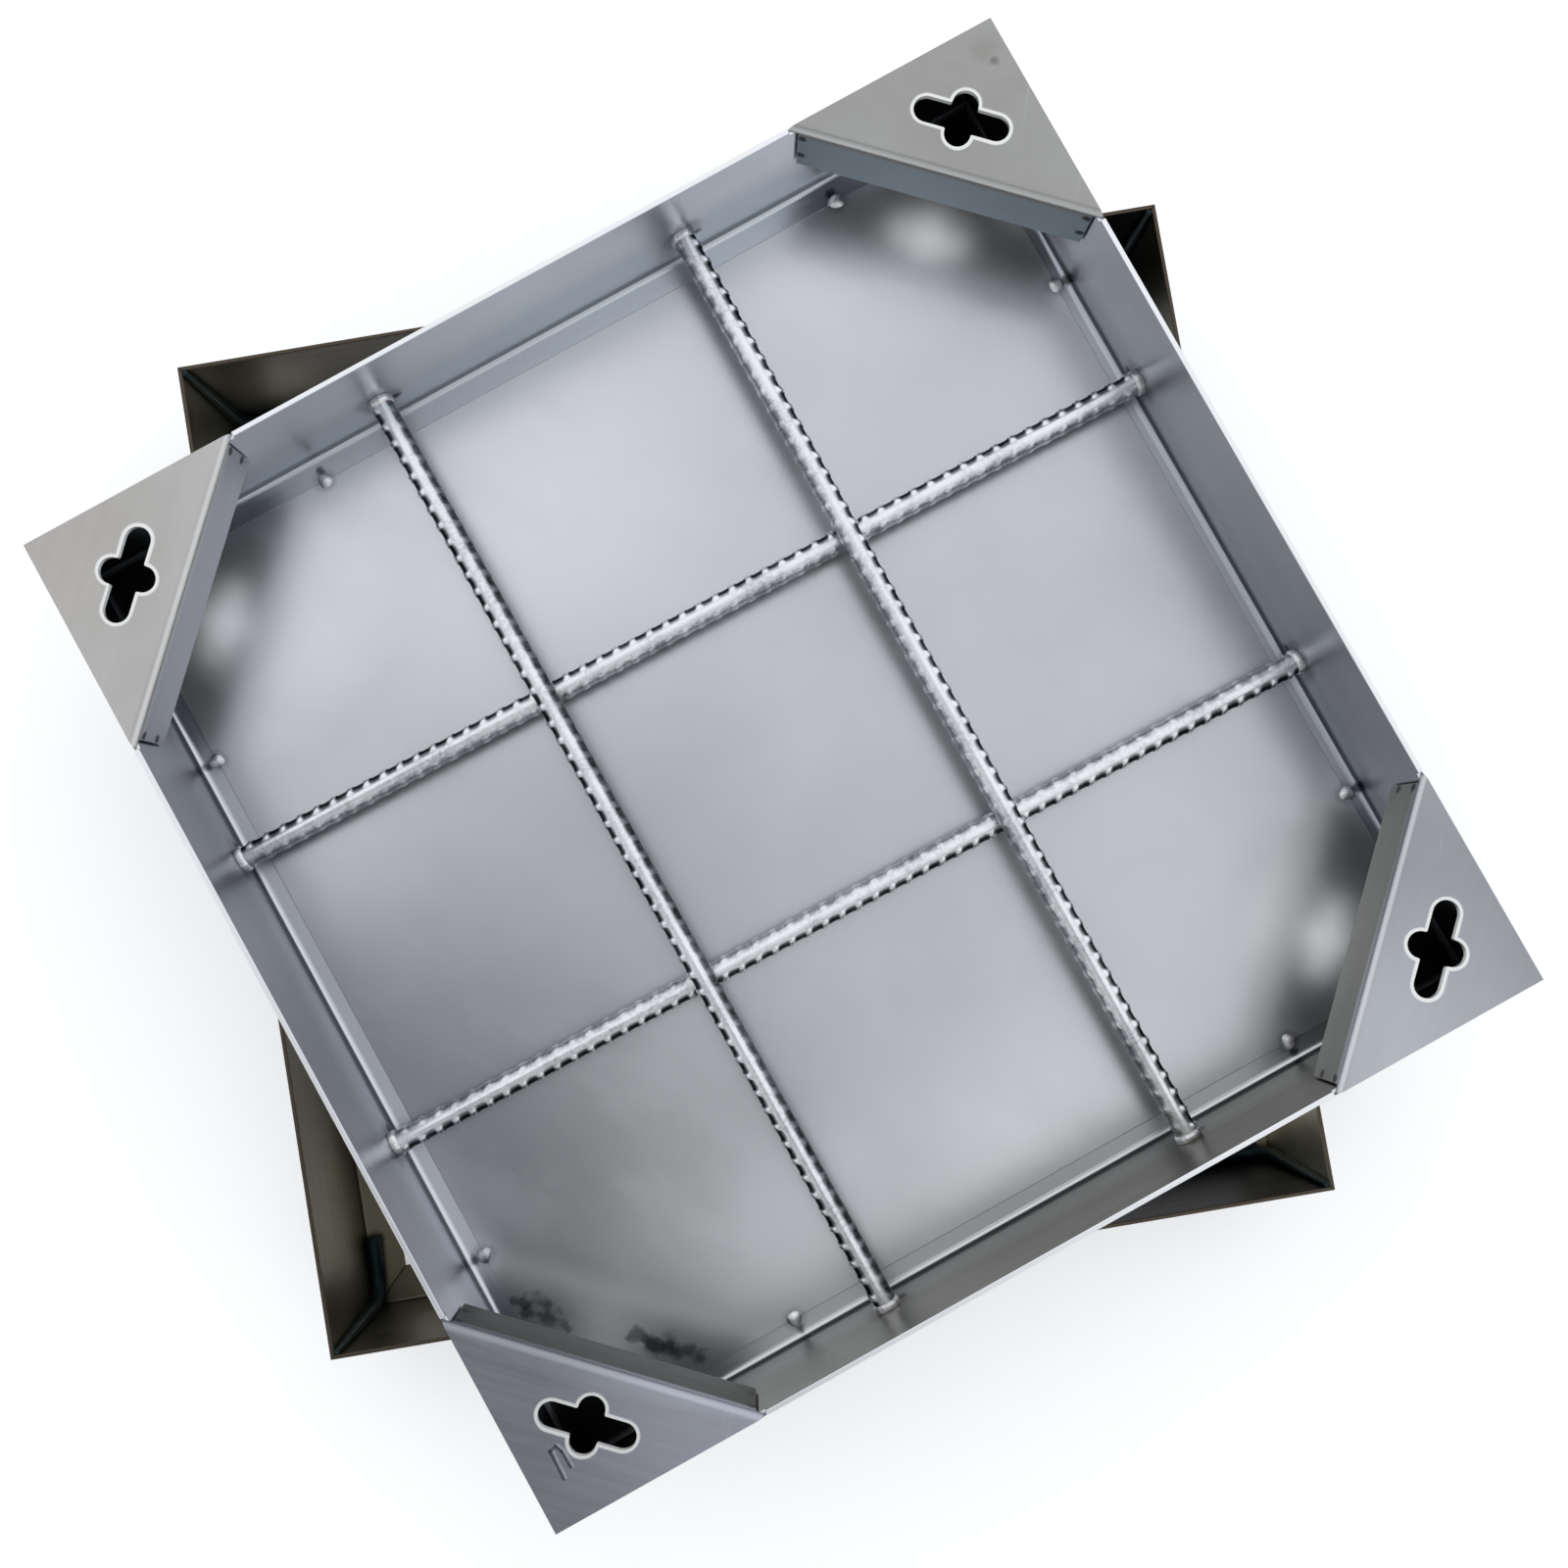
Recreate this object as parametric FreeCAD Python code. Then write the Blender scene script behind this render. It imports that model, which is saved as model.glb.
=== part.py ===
# Recessed paving cover: a square folded-sheet tray lying askew on the frame that it drops into.
# Millimetres, +Z up. The origin is the middle of the frame's foot, and X and Y run along the tray's sides.
import FreeCAD, Part
import math
import os

Vec = FreeCAD.Vector
up = Vec(0, 0, 1)
middle = Vec(0, 0, 0)
flatness = 1e-7
corner_names = ("top", "left", "bottom", "right")
side_names = ("back", "left", "front", "right")

# Tray: four wall sheets folded inwards at their foot, a base angle below each, a floor plate on the folds.
tray_side = 600.0
tray_height = 100.0
wall_gauge = 3.0
wall_foot = 30.0
wall_bend = 7.5
recess_depth = 81.0
base_gauge = 3.0
base_reach = 25.0
base_bend = 4.0
floor_gauge = 2.0
floor_gap_left = 11.8
floor_gap_right = 9.0
floor_gap_back = 15.9
floor_gap_front = 12.5

# Corner plates: a triangle flush with the rim, its long edge folded down, with a cross-shaped key hole.
plate_leg = 127.5
plate_gauge = 3.0
plate_bend = 4.5
plate_fold_depth = 36.0
plate_end_gap = 1.5
key_length = 54.0
key_breadth = 32.0
key_slot = 14.6
key_inset = 41.5
key_rounding = 1.0

# Ribbed bars: two along X lie lowest and two along Y on them; the slants say how far askew they run.
bar_core = 12.8
bar_ridge = 13.8
bar_rib = 15.2
bar_sides = 8
rib_pitch = 10.9
rib_foot = 4.6
rib_lean = 0.35
rib_first = 14.0
low_bar_clearance = 6.5
low_bar_places = (-87.5, 99.85)
low_bar_slants = (-0.016, -0.014)
high_bar_places = (-94.7, 102.6)
high_bar_slants = (-0.0075, 0.0)

# Welds: a collar where each bar meets a wall, and beads along the floor plate's edge.
collar_spread = 1.4
collar_length = 4.5
collar_lip = 0.2
collar_belly = 0.75
bead_radius = 4.4
bead_height = 4.0
bead_rises = (0.0, 0.5, 0.8, 0.96)
bead_sides = 10
bead_back_places = (-150.0, 198.0)
bead_left_places = (165.0, -165.0)
bead_front_places = (-145.0, 186.0)
bead_right_places = (173.0, -175.0)

# Frame: four folded angles with mitred ends, and a rubber cushion in each corner.
frame_clearance = 1.0
frame_gauge = 2.5
frame_ledge = 25.0
frame_bend = 4.0
frame_turn_degrees = -19.44
tray_shift_x = 13.5
tray_shift_y = -7.2
cushion_height = 3.5
cushion_tip = 1.8
cushion_foot = 5.6
cushion_run = 46.0
cushion_turn = 16.0
cushion_play = 0.15
cushion_arc_steps = 4
cushion_sides = 12

# Sizes that follow.
frame_side = tray_side + 2 * (frame_clearance + frame_gauge)
frame_height = tray_height + cushion_height + frame_gauge
tray_base = frame_height
rim = tray_base + tray_height
wall_rise = recess_depth + wall_gauge
wall_base = rim - wall_rise
ledge_top = rim - recess_depth
floor_top = ledge_top + floor_gauge
inner_half = tray_side / 2 - wall_gauge
floor_left = floor_gap_left - inner_half
floor_right = inner_half - floor_gap_right
floor_back = inner_half - floor_gap_back
floor_front = floor_gap_front - inner_half
low_bar_axis = floor_top + low_bar_clearance + bar_ridge / 2
high_bar_axis = low_bar_axis + bar_ridge
bar_length = 2 * inner_half


def polygon_face(points):
    """A flat face through the points."""
    return Part.Face(Part.makePolygon(list(points) + [points[0]]))


def box(low, high):
    """A box between two opposite corners."""
    size = high - low
    return Part.makeBox(size.x, size.y, size.z, low)


def turned(shape, degrees):
    """A copy turned about the upright axis through the origin."""
    copy = shape.copy()
    copy.rotate(middle, up, degrees)
    return copy


def on_tray(shape):
    """A copy moved from the tray's own middle to where the tray lies."""
    copy = shape.copy()
    copy.translate(Vec(tray_shift_x, tray_shift_y, 0))
    return copy


def on_frame(shape):
    """A copy turned the way the frame lies."""
    return turned(shape, frame_turn_degrees)


def mitre_wedge(half_side, low, high):
    """The quarter of a square that belongs to its back side, as an upright prism with 45 degree ends."""
    corner = Vec(half_side, half_side, low)
    other = Vec(-half_side, half_side, low)
    return polygon_face([Vec(0, 0, low), corner, other]).extrude(up * (high - low))


def bent_angle(reach, rise, gauge, bend):
    """An angle's outline in (inward, height): an upright leg, bent over at its top round an outer radius."""
    slant = math.sqrt(0.5)
    inner = bend - gauge
    outer_mid = Vec(bend - bend * slant, rise - bend + bend * slant, 0)
    inner_mid = Vec(bend - inner * slant, rise - bend + inner * slant, 0)
    edges = [
        Part.makeLine(Vec(0, 0, 0), Vec(0, rise - bend, 0)),
        Part.Arc(Vec(0, rise - bend, 0), outer_mid, Vec(bend, rise, 0)).toShape(),
        Part.makeLine(Vec(bend, rise, 0), Vec(reach, rise, 0)),
        Part.makeLine(Vec(reach, rise, 0), Vec(reach, rise - gauge, 0)),
        Part.makeLine(Vec(reach, rise - gauge, 0), Vec(bend, rise - gauge, 0)),
        Part.Arc(Vec(bend, rise - gauge, 0), inner_mid, Vec(gauge, rise - bend, 0)).toShape(),
        Part.makeLine(Vec(gauge, rise - bend, 0), Vec(gauge, 0, 0)),
        Part.makeLine(Vec(gauge, 0, 0), Vec(0, 0, 0)),
    ]
    return Part.Face(Part.Wire(edges))


def bend_at_foot(outline, rise):
    """An angle's outline the other way up, with its bend at the foot."""
    return outline.mirror(Vec(0, rise / 2, 0), Vec(0, 1, 0))


def laid(outline, base, inward):
    """A copy of an outline in (inward, height), stood up at a base point and facing inward."""
    along = inward.cross(up)
    copy = outline.copy()
    copy.Placement = FreeCAD.Placement(base, FreeCAD.Rotation(inward, up, along, "XYZ"))
    return copy


def side_strip(outline, outer_half, base):
    """An outline in (inward, height) run along the back side of a square, with its ends mitred."""
    start = Vec(outer_half, outer_half, base)
    strip = laid(outline, start, Vec(0, -1, 0)).extrude(Vec(-2 * outer_half, 0, 0))
    bounds = strip.BoundBox
    return strip.common(mitre_wedge(outer_half, bounds.ZMin, bounds.ZMax))


def wall_sheet():
    """The back wall: a sheet folded inwards at its foot, its top stepped down under the corner plates."""
    half = tray_side / 2
    low = rim - plate_gauge
    outline = bend_at_foot(bent_angle(wall_foot, wall_rise, wall_gauge, wall_bend), wall_rise)
    strip = side_strip(outline, half, wall_base)
    for start in (-half, half - plate_leg):
        strip = strip.cut(box(Vec(start, 0, low), Vec(start + plate_leg, half, rim)))
    return strip


def base_angle():
    """The back base angle: it stands under the wall's folded foot and is bent over inwards against it."""
    outline = bent_angle(base_reach, wall_base - tray_base, base_gauge, base_bend)
    return side_strip(outline, tray_side / 2, tray_base)


def floor_plate():
    """The floor: a flat sheet lying on the walls' folded feet, a little off the middle."""
    return box(Vec(floor_left, floor_front, ledge_top), Vec(floor_right, floor_back, floor_top))


def key_cutter():
    """The cross-shaped key hole: round-ended arms, the longer pair along the plate's fold."""
    half = key_slot / 2
    waist = half + key_rounding
    notch = waist - key_rounding * math.sqrt(0.5)
    edges = []
    for index in range(4):
        reach = (key_breadth if index % 2 else key_length) / 2 - half
        arm = [
            Part.makeLine(Vec(waist, -half, 0), Vec(reach, -half, 0)),
            Part.Arc(Vec(reach, -half, 0), Vec(reach + half, 0, 0), Vec(reach, half, 0)).toShape(),
            Part.makeLine(Vec(reach, half, 0), Vec(waist, half, 0)),
            Part.Arc(Vec(waist, half, 0), Vec(notch, notch, 0), Vec(half, waist, 0)).toShape(),
        ]
        edges.extend(turned(edge, 90 * index) for edge in arm)
    cross = Part.Face(Part.Wire(edges)).extrude(up * (3 * plate_gauge))
    cross.rotate(middle, up, -45)
    centre = tray_side / 2 - key_inset
    cross.translate(Vec(centre, centre, rim - 2 * plate_gauge))
    return cross


def corner_plate():
    """The plate of the corner at +X +Y: a flush triangle, its long edge folded down and trimmed."""
    half = tray_side / 2
    slant = math.sqrt(0.5)
    to_corner = Vec(slant, slant, 0)
    along = Vec(slant, -slant, 0)
    start = Vec(half, half - plate_leg, rim - plate_fold_depth) - along * plate_leg
    profile = bent_angle(plate_leg, plate_fold_depth, plate_gauge, plate_bend)
    sheet = laid(profile, start - along * plate_leg, to_corner).extrude(along * (3 * plate_leg))
    below = rim - plate_gauge
    inner = inner_half - plate_end_gap
    flat_part = sheet.common(box(Vec(0, 0, below), Vec(half, half, rim)))
    fold_part = sheet.common(box(Vec(0, 0, rim - plate_fold_depth), Vec(inner, inner, below)))
    return flat_part.fuse(fold_part).removeSplitter().cut(key_cutter())


def bar_ring(place, flank, corner):
    """One cross-section of a ribbed bar, leaning along the bar: flank and corner radii between two ridges."""
    ring = []
    for index in range(bar_sides):
        angle = 2 * math.pi * index / bar_sides
        rise = abs(math.sin(angle))
        radius = bar_ridge / 2 if rise > 0.99 else (flank if rise < 0.01 else corner)
        across = radius * math.cos(angle)
        ring.append(Vec(place + rib_lean * across, across, radius * math.sin(angle)))
    return ring


def band(first, second):
    """Faces between two rings: flat quads where they can be, and pairs of triangles where not."""
    faces = []
    count = len(first)
    for index in range(count):
        after = (index + 1) % count
        corners = [first[index], first[after], second[after], second[index]]
        normal = (corners[1] - corners[0]).cross(corners[2] - corners[0])
        if abs(normal.normalize().dot(corners[3] - corners[0])) < flatness:
            faces.append(polygon_face(corners))
        else:
            faces.append(polygon_face(corners[:3]))
            faces.append(polygon_face([corners[0], corners[2], corners[3]]))
    return faces


def skinned(rings):
    """A closed solid through a row of rings, with flat ends."""
    faces = [polygon_face(list(reversed(rings[0]))), polygon_face(rings[-1])]
    for first, second in zip(rings, rings[1:]):
        faces.extend(band(first, second))
    solid = Part.Solid(Part.Shell(faces))
    if solid.Volume < 0:
        solid.reverse()
    return solid


def slanted(ring, slant):
    """A ring moved across by its distance along, so that a bar runs askew between square ends."""
    return [point + Vec(0, slant * point.x, 0) for point in ring]


def ribbed_bar(slant):
    """A ribbed bar along X: two plain ridges, and leaning ribs on both flanks at an even pitch."""
    half = bar_length / 2
    root = bar_core / 2
    crest = bar_rib / 2
    rib_span = bar_length - 2 * rib_first
    rib_count = int(rib_span / rib_pitch) + 1
    rib_start = -(rib_count - 1) * rib_pitch / 2
    rings = []
    for index in range(rib_count):
        place = rib_start + index * rib_pitch
        rings.append(bar_ring(place - rib_foot / 2, root, root))
        rings.append(bar_ring(place, crest, (crest + bar_ridge / 2) / 2))
        rings.append(bar_ring(place + rib_foot / 2, root, root))
    shank = bar_ring(0, root, root)
    ends = [[Vec(place, point.y, point.z) for point in shank] for place in (-half, half)]
    return skinned([slanted(ring, slant) for ring in [ends[0]] + rings + [ends[1]]])


def placed_bar(bar, across, height, degrees):
    """A copy of a bar or collar, turned about the upright axis and set at its place and height."""
    copy = turned(bar, degrees)
    offset = Vec(0, across, height) if degrees == 0 else Vec(across, 0, height)
    copy.translate(offset)
    return copy


def end_ring(place, radius):
    """A ring of the bar's many-sided section, at a plain radius."""
    angles = [2 * math.pi * index / bar_sides for index in range(bar_sides)]
    return [Vec(place, radius * math.cos(angle), radius * math.sin(angle)) for angle in angles]


def weld_collar(slant):
    """The weld at a bar's +X end: a collar that widens to the wall, round the bar's plain end."""
    wall = bar_length / 2
    wide = bar_ridge / 2 + collar_spread
    rings = [
        end_ring(wall - collar_length, bar_ridge / 2 + collar_lip),
        end_ring(wall - collar_length / 2, bar_ridge / 2 + collar_spread * collar_belly),
        end_ring(wall, wide),
    ]
    shank = [[Vec(place, point.y, point.z) for point in bar_ring(0, bar_core / 2, bar_core / 2)]
             for place in (wall - collar_length, wall)]
    solids = [skinned([slanted(ring, slant) for ring in row]) for row in (rings, shank)]
    return solids[0].cut(solids[1])


def bars_and_collars():
    """The four bars, each with a weld collar at both ends."""
    courses = [
        ("lower", low_bar_places, low_bar_slants, low_bar_axis, 0, 1),
        ("upper", high_bar_places, high_bar_slants, high_bar_axis, 90, -1),
    ]
    parts = {}
    for course, places, slants, height, degrees, sign in courses:
        for index, (place, slant) in enumerate(zip(places, slants), 1):
            name = f"{course}_bar_{index}"
            collar = weld_collar(sign * slant)
            parts[name] = placed_bar(ribbed_bar(sign * slant), place, height, degrees)
            parts[f"{name}_weld_a"] = placed_bar(collar, place, height, degrees)
            parts[f"{name}_weld_b"] = placed_bar(turned(collar, 180), place, height, degrees)
    return parts


def weld_bead():
    """One weld bead at the origin: a low many-sided dome."""
    rings = []
    for rise in bead_rises:
        height = rise * bead_height
        radius = bead_radius * math.sqrt(1 - rise * rise)
        angles = [2 * math.pi * index / bead_sides for index in range(bead_sides)]
        rings.append([Vec(radius * math.cos(angle), radius * math.sin(angle), height) for angle in angles])
    return skinned(rings)


def floor_welds():
    """The weld beads that hold the floor plate's edge to the walls' folded feet, two on each side."""
    sides = {
        "back": [(place, floor_back) for place in bead_back_places],
        "left": [(floor_left, place) for place in bead_left_places],
        "front": [(place, floor_front) for place in bead_front_places],
        "right": [(floor_right, place) for place in bead_right_places],
    }
    floor = floor_plate()
    parts = {}
    for side, places in sides.items():
        for index, (across, along) in enumerate(places, 1):
            bead = weld_bead()
            bead.translate(Vec(across, along, ledge_top))
            parts[f"floor_weld_{side}_{index}"] = bead.cut(floor)
    return parts


def frame_angle():
    """The back side of the frame: an upright sheet, folded inwards at its foot into a ledge."""
    outline = bend_at_foot(bent_angle(frame_ledge, frame_height, frame_gauge, frame_bend), frame_height)
    return side_strip(outline, frame_side / 2, 0)


def cushion_ring(centre, bend, radius):
    """A many-sided ring about a centre, square to a path that has turned from down to along."""
    ring = []
    for index in range(cushion_sides):
        angle = 2 * math.pi * index / cushion_sides
        out = Vec(math.cos(angle), 0, 0)
        over = Vec(0, -math.cos(bend), math.sin(bend)) * math.sin(angle)
        ring.append(centre + (out + over) * radius)
    return ring


def corner_cushion():
    """The rubber cushion at the frame's +X +Y corner: it thickens downwards and turns along the ledge."""
    inside = frame_side / 2 - frame_gauge
    top = frame_height
    drop = top - frame_gauge - cushion_turn - cushion_foot
    arc = math.pi / 2 * cushion_turn
    flat = cushion_run - cushion_turn - cushion_foot
    length = drop + arc + flat
    steps = [(0, 0), (drop, 0)]
    steps += [(drop + arc * index / cushion_arc_steps, math.pi / 2 * index / cushion_arc_steps)
              for index in range(1, cushion_arc_steps)]
    steps += [(drop + arc, math.pi / 2), (length, math.pi / 2)]
    rings = []
    for travelled, bend in steps:
        radius = cushion_tip + (cushion_foot - cushion_tip) * travelled / length
        wall_gap = radius + cushion_play
        if travelled <= drop:
            height = top - travelled
            back = wall_gap
        else:
            turn_out = cushion_turn * (1 - math.cos(bend))
            height = top - drop - cushion_turn * math.sin(bend)
            back = wall_gap + turn_out + max(0.0, travelled - drop - arc)
        centre = Vec(inside - wall_gap, inside - back, height)
        rings.append(cushion_ring(centre, bend, radius))
    return skinned(rings)


def four_around(shape, names, stem):
    """Four copies of a shape at +Y or at +X +Y, turned in quarter turns, with their node names."""
    return {f"{stem}_{name}": turned(shape, 90 * index) for index, name in enumerate(names)}


def build():
    """Every node of the cover, as named solids."""
    tray = {"floor_plate": floor_plate()}
    tray.update(four_around(wall_sheet(), side_names, "tray_wall"))
    tray.update(four_around(base_angle(), side_names, "base_angle"))
    tray.update(four_around(corner_plate(), corner_names, "corner_plate"))
    tray.update(bars_and_collars())
    tray.update(floor_welds())
    frame = four_around(frame_angle(), side_names, "frame_side")
    frame.update(four_around(corner_cushion(), corner_names, "corner_cushion"))
    parts = {name: on_tray(shape) for name, shape in tray.items()}
    parts.update({name: on_frame(shape) for name, shape in frame.items()})
    return parts


def write(parts):
    """One file for each node."""
    os.makedirs("parts", exist_ok=True)
    for name, shape in parts.items():
        shape.exportStep(f"parts/{name}.step")


write(build())
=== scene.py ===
import math

import bmesh
import bpy
import numpy as np
from mathutils import Matrix, Vector


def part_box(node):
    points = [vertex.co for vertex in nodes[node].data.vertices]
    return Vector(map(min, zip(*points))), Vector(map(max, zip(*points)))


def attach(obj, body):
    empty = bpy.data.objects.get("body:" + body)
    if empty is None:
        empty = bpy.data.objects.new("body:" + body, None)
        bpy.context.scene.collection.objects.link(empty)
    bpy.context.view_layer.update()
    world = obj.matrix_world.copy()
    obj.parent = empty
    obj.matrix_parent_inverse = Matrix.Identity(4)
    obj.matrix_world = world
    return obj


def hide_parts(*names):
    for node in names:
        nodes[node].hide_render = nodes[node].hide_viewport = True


# A recessed paving cover in satin stainless steel, with its tray askew on its frame. Metres, +Z up.
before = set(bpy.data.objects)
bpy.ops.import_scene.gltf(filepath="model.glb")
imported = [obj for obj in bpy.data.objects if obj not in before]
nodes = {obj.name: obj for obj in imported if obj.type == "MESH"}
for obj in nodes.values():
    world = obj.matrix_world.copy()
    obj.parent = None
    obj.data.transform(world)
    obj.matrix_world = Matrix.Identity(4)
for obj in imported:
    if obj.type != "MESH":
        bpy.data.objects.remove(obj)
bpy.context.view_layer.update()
mm = 0.001
rimHeight, floorHeight = 206, 127  # above the ground, in millimetres
frameTurn = -19.44  # how far the frame is turned below the tray, in degrees
sideNames = ("back", "left", "front", "right")
cornerNames = ("top", "left", "bottom", "right")
print("loaded", len(nodes), "nodes")


# colours and nodes

def hexColour(text):
    # an sRGB hex value as linear red, green, blue and alpha
    channels = [int(text[i:i + 2], 16) / 255 for i in (1, 3, 5)]
    return [c / 12.92 if c <= 0.04045 else ((c + 0.055) / 1.055) ** 2.4 for c in channels] + [1.0]


def addNode(tree, kind, inputs=None, **settings):
    # one node with its settings, and each input as a value or as a link from another node's output
    node = tree.nodes.new(kind)
    for key, value in settings.items():
        setattr(node, key, value)
    for key, value in (inputs or {}).items():
        if isinstance(value, bpy.types.NodeSocket):
            tree.links.new(value, node.inputs[key])
        else:
            node.inputs[key].default_value = value
    return node


def newMaterial(name):
    # a material with an empty node tree
    material = bpy.data.materials.new(name)
    material.use_nodes = True
    tree = material.node_tree
    tree.nodes.clear()
    return material, tree


def ramped(tree, value, low, high, start=0.0, end=1.0):
    # a value from low to high, eased into start to end
    return addNode(tree, "ShaderNodeMapRange", {
        "Value": value, "From Min": low, "From Max": high, "To Min": start, "To Max": end},
        interpolation_type="SMOOTHSTEP").outputs["Result"]


def noiseField(tree, coordinates, size, detail=2.0, roughness=0.5, stretch=(1, 1, 1), turn=0.0, shift=(0, 0, 0)):
    # clouds whose grains are about that many metres across, first stretched and then turned in the plane
    mapped = addNode(tree, "ShaderNodeMapping", {"Vector": coordinates, "Rotation": (0, 0, turn), "Location": shift,
                                                 "Scale": stretch}, vector_type="TEXTURE")
    return addNode(tree, "ShaderNodeTexNoise", {"Vector": mapped.outputs["Vector"], "Scale": 0.5 / size,
                                                "Detail": detail, "Roughness": roughness}).outputs["Fac"]


def combined(tree, operation, a, b):
    # one step of arithmetic on two values
    return addNode(tree, "ShaderNodeMath", {0: a, 1: b}, operation=operation).outputs["Value"]


def blended(tree, factor, a, b):
    # two colours, mixed by a factor from the first to the second
    return addNode(tree, "ShaderNodeMix", {0: factor, 6: a, 7: b}, data_type="RGBA").outputs[2]


def distanceTo(tree, coordinates, point):
    # from each point to a given one
    return addNode(tree, "ShaderNodeVectorMath", {0: coordinates, 1: tuple(point)},
                   operation="DISTANCE").outputs["Value"]


def distanceToLine(tree, coordinates, start, end):
    # from each point to the nearest one of a straight line from start to end
    start, along = Vector(start), Vector(end) - Vector(start)
    away = addNode(tree, "ShaderNodeVectorMath", {0: coordinates, 1: tuple(start)}, operation="SUBTRACT")
    share = addNode(tree, "ShaderNodeVectorMath", {0: away.outputs["Vector"], 1: tuple(along / along.length_squared)},
                    operation="DOT_PRODUCT")
    held = addNode(tree, "ShaderNodeClamp", {"Value": share.outputs["Value"]}).outputs["Result"]
    foot = addNode(tree, "ShaderNodeVectorMath", {0: tuple(along), 3: held}, operation="SCALE")
    return addNode(tree, "ShaderNodeVectorMath", {0: away.outputs["Vector"], 1: foot.outputs["Vector"]},
                   operation="DISTANCE").outputs["Value"]


def marked(tree, place, base, marks):
    # colours what lies nearer than a given distance to a point or a line, with a ragged border: a rub, a scratch,
    # heat tint, dirt, painted shade, a painted shadow or a painted pool of light
    for mark in marks:
        away = (distanceToLine(tree, place, *mark["at"]) if isinstance(mark["at"], tuple)
                else distanceTo(tree, place, mark["at"]))
        frayed = ramped(tree, noiseField(tree, place, mark["raggedSize"] * mm, 3.0), 0.2, 0.8, -mark["ragged"] * mm,
                        mark["ragged"] * mm)
        inside = ramped(tree, combined(tree, "ADD", away, frayed), mark["inner"] * mm, mark["outer"] * mm,
                        mark["strength"], 0.0)
        base = blended(tree, inside, base, hexColour(mark["colour"]))
    return base


def finished(material, base, rough, height, strength, depth, **more):
    # the surface of a material: its colour and roughness, and its height as a bump of that depth in millimetres
    tree = material.node_tree
    bump = addNode(tree, "ShaderNodeBump", {"Height": height, "Strength": strength, "Distance": depth * mm})
    shader = addNode(tree, "ShaderNodeBsdfPrincipled", {
        "Base Color": base, "Roughness": rough, "Normal": bump.outputs["Normal"], **more})
    addNode(tree, "ShaderNodeOutputMaterial", {"Surface": shader.outputs["BSDF"]})
    return material


# what every sheet has unless its own look says otherwise. Sizes are in millimetres; the real grit lines are 0.2 mm
# apart and are drawn 1.1 mm apart, the finest that shows in the view
plainSheet = {"grainWidth": 1.1, "grainLength": 70, "grainTurn": 0, "grainHeight": 0.004, "grainRough": 1.0,
              "cloudSize": 70, "wave": 0.35, "rubSize": 22, "rub": 0.15, "rubRoughness": 0.04, "scratchWidth": 1.4,
              "scratch": 0.06, "scratchColour": "#eef0f2", "foldEdge": (199, 202.5), "fold": None, "patches": [],
              "bands": [], "marks": [], "outward": None, "outerDark": "#a3a6aa", "outerLight": "#b4b7bb",
              "keyHole": None, "haloColour": "#fafaf8", "rim": None, "rimFrom": 0}


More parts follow.
